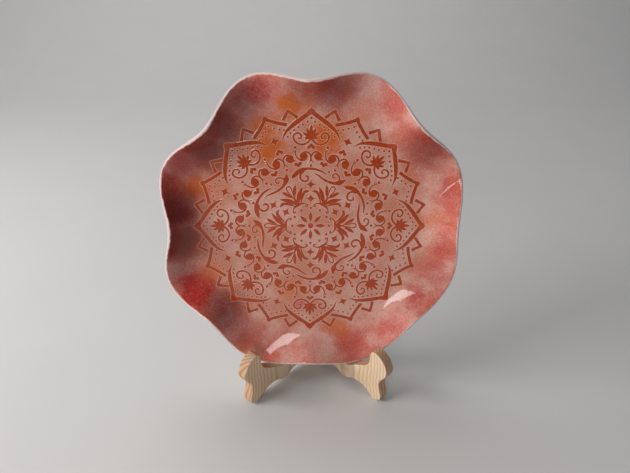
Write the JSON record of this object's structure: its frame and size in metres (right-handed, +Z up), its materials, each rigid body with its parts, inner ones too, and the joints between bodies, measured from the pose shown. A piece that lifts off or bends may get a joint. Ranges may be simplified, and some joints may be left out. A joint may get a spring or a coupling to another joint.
{
  "type": "display plate on folding stand",
  "caption": "Shallow lobed ceramic plate with a painted rosette, standing on a folding wooden stand of hinged boards with front hooks and rear posts.",
  "frame": {"origin": "on the surface the stand rests on, under the middle of the whole object's bounding box", "axes": "+Z up; +Y from the painted face towards the back; +X to the right of a person facing the painted face"},
  "size_m": [0.2863, 0.0875, 0.3189],
  "materials": {
    "glazed_ceramic": "painted under a clear gloss glaze",
    "pine": "sanded, unvarnished",
    "brass": "pressed and polished",
    "brass_pins": "plated, satin"
  },
  "bodies": {
    "stand_left": {"left_side_panel": "pine", "upper_hinge_left_leaf": "brass", "lower_hinge_left_leaf": "brass", "upper_hinge_pin": "brass_pins", "lower_hinge_pin": "brass_pins", "upper_left_top_screw": "brass_pins", "upper_left_bottom_screw": "brass_pins", "lower_left_top_screw": "brass_pins", "lower_left_bottom_screw": "brass_pins"},
    "stand_right": {"right_side_panel": "pine", "upper_hinge_right_leaf": "brass", "lower_hinge_right_leaf": "brass", "upper_right_top_screw": "brass_pins", "upper_right_bottom_screw": "brass_pins", "lower_right_top_screw": "brass_pins", "lower_right_bottom_screw": "brass_pins"},
    "plate_body": {"plate": "glazed_ceramic"}
  },
  "joints": [
    {"name": "stand_fold", "type": "hinge", "parent": "stand_left", "child": "stand_right", "pos_m": [0.0024, 0.0303, 0.058], "axis": [0, 0, -1], "range_deg": [0, 86]},
    {"name": "plate_lift", "type": "slide", "parent": "stand_left", "child": "plate_body", "axis": [0, 0, 1], "range_m": [0, 0.38]}
  ],
  "couplings": [
    {"joint": "plate_lift", "follows": "stand_fold", "m_per_rad": 0.25}
  ]
}
